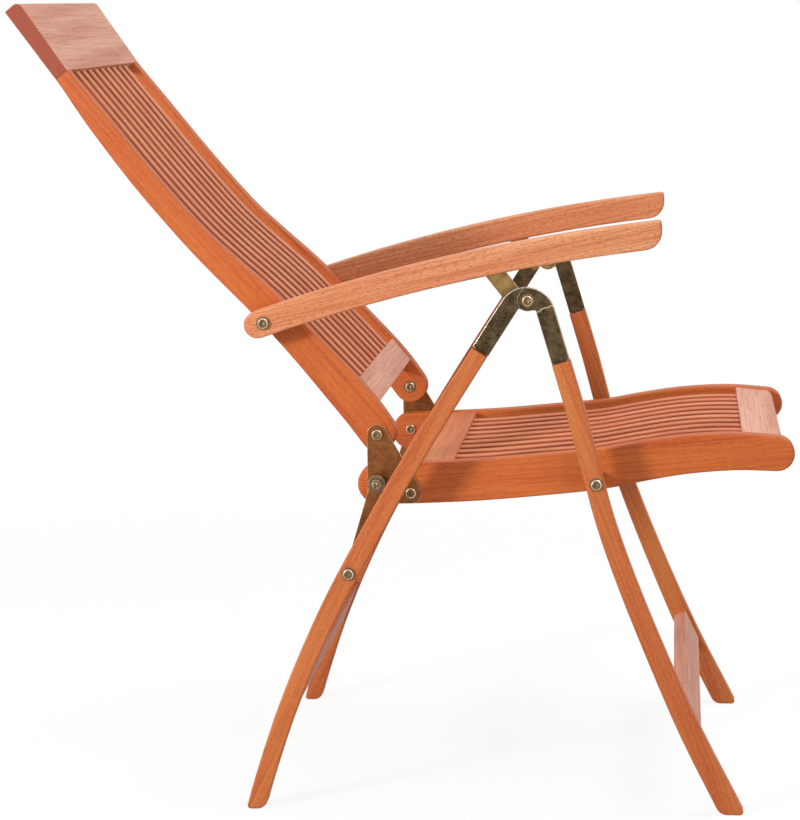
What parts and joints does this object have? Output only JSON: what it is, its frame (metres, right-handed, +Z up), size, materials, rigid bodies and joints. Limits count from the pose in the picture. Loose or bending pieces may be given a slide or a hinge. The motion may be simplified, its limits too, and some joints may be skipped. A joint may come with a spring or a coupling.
{
  "type": "folding garden chair",
  "caption": "Slatted hardwood folding garden chair with a high reclining back, armrests on a toothed catch, and crossed legs that fold flat.",
  "frame": {"origin": "on the floor, in the middle of the box round the open chair", "axes": "+Z up, the chair faces -Y, +X to the sitter's left"},
  "size_m": [0.5762, 0.9324, 0.9627],
  "materials": {
    "frame_wood": "oiled hardwood, smooth, fine straight grain, satin",
    "board_wood": "oiled hardwood, paler flat grain, satin",
    "slat_wood": "oiled hardwood slats with eased edges, satin",
    "arm_wood": "oiled hardwood with a flecked golden figure, satin",
    "plate_steel": "yellow-plated flat steel, dull olive brown with bright cut edges",
    "bolt_steel": "yellow-plated turned steel, bright rims"
  },
  "bodies": {
    "front_frame": {"front_leg_right": "frame_wood", "front_leg_left": "frame_wood", "front_cross_board": "board_wood", "front_strap_right": "plate_steel", "front_strap_left": "plate_steel", "leg_pivot_bolts": "bolt_steel", "leg_pivot_bushes": "plate_steel", "seat_pivot_bolts": "bolt_steel", "seat_pivot_spacers": "plate_steel"},
    "rear_leg_frame": {"rear_leg_right": "frame_wood", "rear_leg_left": "frame_wood", "rear_cross_board": "frame_wood", "rear_strap_right": "plate_steel", "rear_strap_left": "plate_steel", "link_bolts": "bolt_steel", "link_spacers": "plate_steel"},
    "links": {"link_right": "plate_steel", "link_left": "plate_steel", "link_nuts": "bolt_steel"},
    "seat_frame": {"seat_rail_right": "frame_wood", "seat_rail_left": "frame_wood", "seat_front_board": "board_wood", "seat_rear_board": "frame_wood", "seat_slat_1": "slat_wood", "seat_slat_2": "slat_wood", "seat_slat_3": "slat_wood", "seat_slat_4": "slat_wood", "seat_slat_5": "slat_wood", "seat_slat_6": "slat_wood", "seat_slat_7": "slat_wood", "seat_slat_8": "slat_wood", "seat_slat_9": "slat_wood", "hinge_plate_right": "plate_steel", "hinge_plate_left": "plate_steel", "plate_bolts": "bolt_steel", "rear_seat_bolts": "bolt_steel", "rear_seat_nuts": "bolt_steel"},
    "hinge_bolts": {"back_hinge_bolts": "bolt_steel"},
    "back_frame": {"back_stile_right": "frame_wood", "back_stile_left": "frame_wood", "head_board": "board_wood", "back_lower_rail": "board_wood", "back_slat_1": "slat_wood", "back_slat_2": "slat_wood", "back_slat_3": "slat_wood", "back_slat_4": "slat_wood", "back_slat_5": "slat_wood", "back_slat_6": "slat_wood", "back_slat_7": "slat_wood", "back_slat_8": "slat_wood", "back_slat_9": "slat_wood"},
    "arms": {"arm_right": "arm_wood", "arm_left": "arm_wood", "arm_racks": "plate_steel"},
    "arm_bolts": {"arm_bolts": "bolt_steel", "arm_washers": "bolt_steel"},
    "catches": {"catch_right": "plate_steel", "catch_left": "plate_steel"}
  },
  "joints": [
    {"name": "fold", "type": "hinge", "parent": "front_frame", "child": "rear_leg_frame", "pos_m": [0, -0.15426, 0.6127], "axis": [-1, 0, 0], "range_deg": [0, 47.4]},
    {"name": "seat_fold", "type": "hinge", "parent": "front_frame", "child": "seat_frame", "pos_m": [0, -0.23366, 0.397], "axis": [-1, 0, 0], "range_deg": [0, 85.39]},
    {"name": "link_fold", "type": "hinge", "parent": "seat_frame", "child": "links", "pos_m": [0, 0.02934, 0.39], "axis": [-1, 0, 0], "range_deg": [0, 95.97]},
    {"name": "back_fold", "type": "hinge", "parent": "seat_frame", "child": "hinge_bolts", "pos_m": [0, 0.02934, 0.4475], "axis": [1, 0, 0], "range_deg": [0, 101.62]},
    {"name": "recline", "type": "hinge", "parent": "hinge_bolts", "child": "back_frame", "pos_m": [0, 0.02934, 0.4475], "axis": [1, 0, 0], "range_deg": [-0.35, 26.35]},
    {"name": "arm_fold", "type": "hinge", "parent": "back_frame", "child": "arm_bolts", "pos_m": [0, 0.15921, 0.58535], "axis": [-1, 0, 0], "range_deg": [0, 107.52]},
    {"name": "arm_level", "type": "hinge", "parent": "arm_bolts", "child": "arms", "pos_m": [0, 0.15921, 0.58535], "axis": [-1, 0, 0], "range_deg": [-0.35, 18.63]},
    {"name": "catch_fold", "type": "hinge", "parent": "front_frame", "child": "catches", "pos_m": [0, -0.15426, 0.6127], "axis": [-1, 0, 0], "range_deg": [0, 105.02]}
  ],
  "couplings": [
    {"joint": "seat_fold", "follows": "fold", "ratio": 1.8011},
    {"joint": "link_fold", "follows": "fold", "ratio": 2.0243},
    {"joint": "back_fold", "follows": "fold", "ratio": 2.1435},
    {"joint": "arm_fold", "follows": "fold", "ratio": 2.2679},
    {"joint": "catch_fold", "follows": "fold", "ratio": 2.2152},
    {"joint": "arm_level", "follows": "recline", "ratio": 0.70231}
  ]
}
